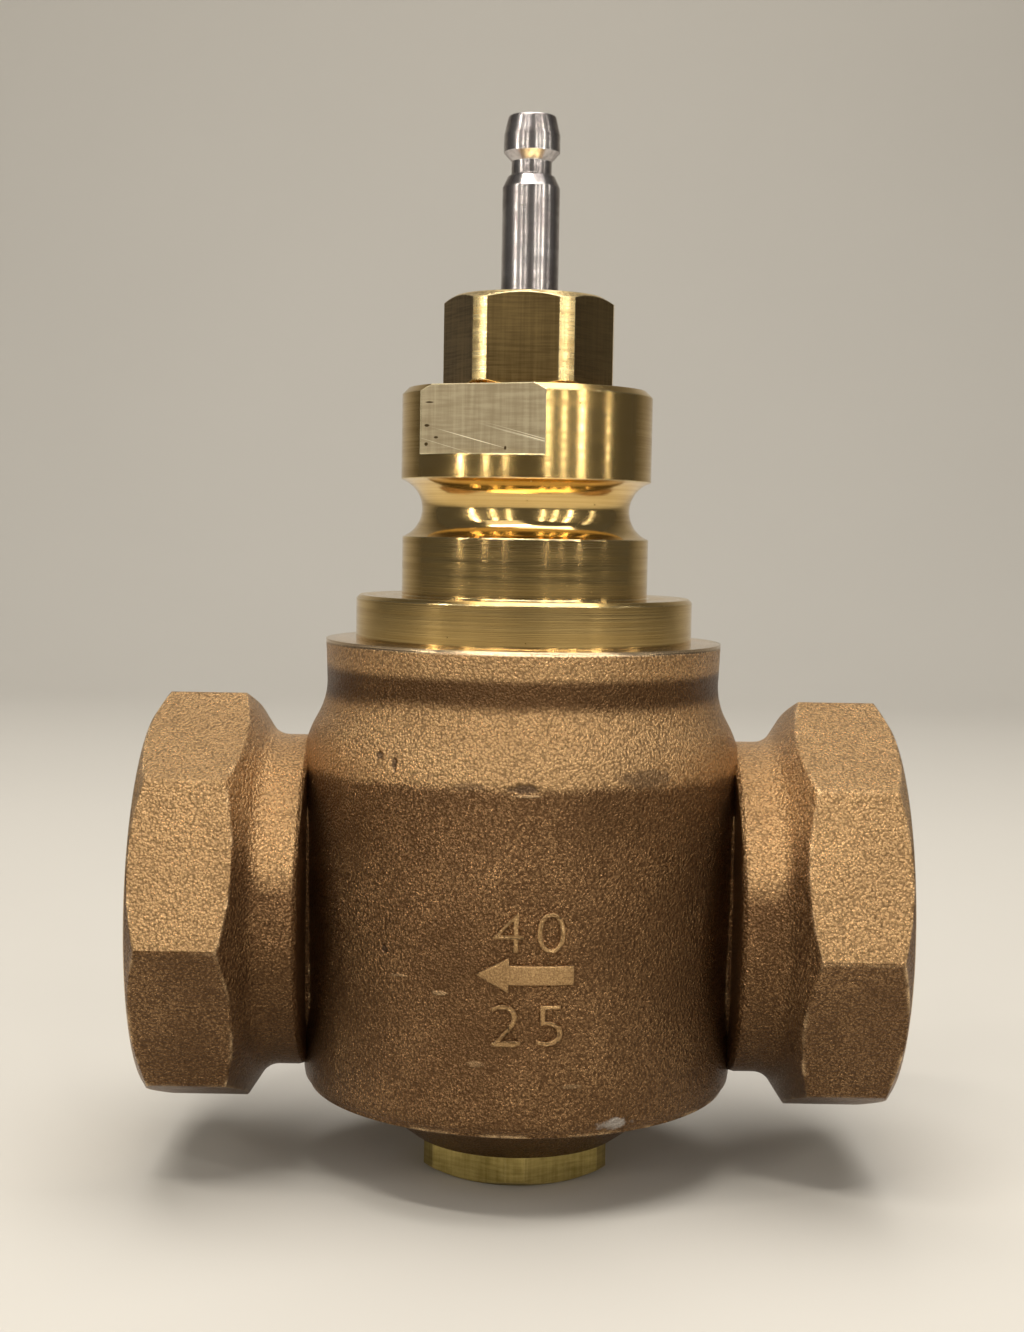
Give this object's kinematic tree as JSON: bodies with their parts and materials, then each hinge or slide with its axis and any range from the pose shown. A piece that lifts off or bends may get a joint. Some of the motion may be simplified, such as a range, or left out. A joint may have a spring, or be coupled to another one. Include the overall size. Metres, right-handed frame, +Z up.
{
  "type": "globe valve",
  "caption": "Two-way cast globe control valve with octagonal female-threaded ends, a lifting stem with a clip groove, and a grooved neck for a linear actuator.",
  "frame": {"origin": "centre of the bottom plug's foot, which the valve stands on; it lies on the stem's axis", "axes": "+Z up the stem, X along the pipe with the inlet at +X and the outlet at -X, -Y towards the marked face"},
  "size_m": [0.128, 0.0772, 0.1842],
  "materials": {
    "cast_bronze": "sand-cast bronze, grainy",
    "turned_brass": "turned brass, satin to bright",
    "nut_brass": "brass bar, brushed flats and bright chamfers",
    "plug_brass": "brass bar, dull",
    "disc_brass": "turned brass",
    "bush_bronze": "plain bronze bearing",
    "stem_steel": "turned stainless steel",
    "seat_steel": "turned stainless steel",
    "washer_steel": "stainless steel",
    "spring_steel": "stainless spring wire",
    "packing_ptfe": "PTFE, white",
    "wiper_ptfe": "filled PTFE, dark",
    "seal_rubber": "EPDM rubber, matt",
    "gasket_fibre": "pressed fibre sheet"
  },
  "bodies": {
    "valve": {"valve_body": "cast_bronze", "inlet_end": "cast_bronze", "outlet_end": "cast_bronze", "seat_ring": "seat_steel", "bottom_plug": "plug_brass", "bottom_plug_gasket": "gasket_fibre", "bonnet": "turned_brass", "bonnet_gasket": "gasket_fibre", "guide_bush": "bush_bronze", "packing_washer_lower": "washer_steel", "packing_spring": "spring_steel", "packing_washer_upper": "washer_steel", "packing_adapter_lower": "packing_ptfe", "packing_ring_1": "packing_ptfe", "packing_ring_2": "packing_ptfe", "packing_ring_3": "packing_ptfe", "packing_adapter_upper": "packing_ptfe", "packing_nut": "nut_brass", "packing_nut_o_ring": "seal_rubber", "wiper_ring": "wiper_ptfe"},
    "stem_assembly": {"stem": "stem_steel", "disc_holder": "disc_brass", "disc_seal": "seal_rubber", "flow_plug": "disc_brass", "disc_washer": "washer_steel", "disc_nut": "washer_steel"}
  },
  "joints": [
    {"name": "stem_lift", "type": "slide", "parent": "valve", "child": "stem_assembly", "axis": [0, 0, 1], "range_m": [-0.018, 0]}
  ]
}
